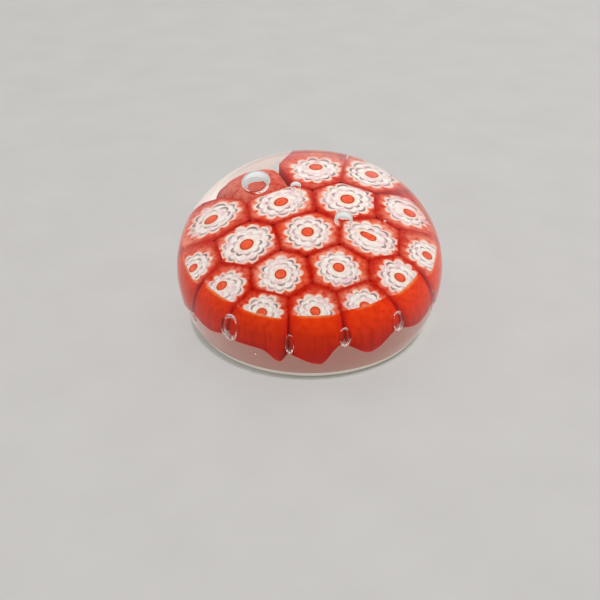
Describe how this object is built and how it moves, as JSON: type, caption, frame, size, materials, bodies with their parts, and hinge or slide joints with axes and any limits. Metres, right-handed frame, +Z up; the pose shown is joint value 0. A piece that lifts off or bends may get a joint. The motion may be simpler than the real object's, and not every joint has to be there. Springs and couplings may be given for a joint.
{
  "type": "paperweight",
  "caption": "Clear glass dome paperweight with a flat ground base and a cluster of flower-patterned glass canes standing inside it.",
  "frame": {"origin": "centre of the flat ground base, on the surface that the paperweight rests on", "axes": "+Z up through the top of the dome; +X to the right and +Y to the back as seen from the front"},
  "size_m": [0.056, 0.056, 0.0347],
  "materials": {
    "clear_glass": "clear polished glass",
    "casing_glass": "opaque red-orange glass under clear glass",
    "petal_glass": "opaque white glass with mauve-grey seams",
    "core_glass": "opaque red glass"
  },
  "bodies": {
    "root": {"clear_crown": "clear_glass", "clear_base": "clear_glass", "centre_cane_casing": "casing_glass", "centre_cane_rosette": "petal_glass", "centre_cane_core": "core_glass", "inner_cane_1_casing": "casing_glass", "inner_cane_1_rosette": "petal_glass", "inner_cane_1_core": "core_glass", "inner_cane_2_casing": "casing_glass", "inner_cane_2_rosette": "petal_glass", "inner_cane_2_core": "core_glass", "inner_cane_3_casing": "casing_glass", "inner_cane_3_rosette": "petal_glass", "inner_cane_3_core": "core_glass", "inner_cane_4_casing": "casing_glass", "inner_cane_4_rosette": "petal_glass", "inner_cane_4_core": "core_glass", "inner_cane_5_casing": "casing_glass", "inner_cane_5_rosette": "petal_glass", "inner_cane_5_core": "core_glass", "inner_cane_6_casing": "casing_glass", "inner_cane_6_rosette": "petal_glass", "inner_cane_6_core": "core_glass", "outer_cane_1_casing": "casing_glass", "outer_cane_1_rosette": "petal_glass", "outer_cane_1_core": "core_glass", "outer_cane_2_casing": "casing_glass", "outer_cane_2_rosette": "petal_glass", "outer_cane_2_core": "core_glass", "outer_cane_3_casing": "casing_glass", "outer_cane_3_rosette": "petal_glass", "outer_cane_3_core": "core_glass", "outer_cane_4_casing": "casing_glass", "outer_cane_4_rosette": "petal_glass", "outer_cane_4_core": "core_glass", "outer_cane_5_casing": "casing_glass", "outer_cane_5_rosette": "petal_glass", "outer_cane_5_core": "core_glass", "outer_cane_6_casing": "casing_glass", "outer_cane_6_rosette": "petal_glass", "outer_cane_6_core": "core_glass", "outer_cane_7_casing": "casing_glass", "outer_cane_7_rosette": "petal_glass", "outer_cane_7_core": "core_glass", "outer_cane_8_casing": "casing_glass", "outer_cane_8_rosette": "petal_glass", "outer_cane_8_core": "core_glass", "outer_cane_9_casing": "casing_glass", "outer_cane_9_rosette": "petal_glass", "outer_cane_9_core": "core_glass", "outer_cane_10_casing": "casing_glass", "outer_cane_10_rosette": "petal_glass", "outer_cane_10_core": "core_glass", "outer_cane_11_casing": "casing_glass", "outer_cane_11_rosette": "petal_glass", "outer_cane_11_core": "core_glass", "outer_cane_12_casing": "casing_glass", "outer_cane_12_rosette": "petal_glass", "outer_cane_12_core": "core_glass"}
  },
  "joints": []
}
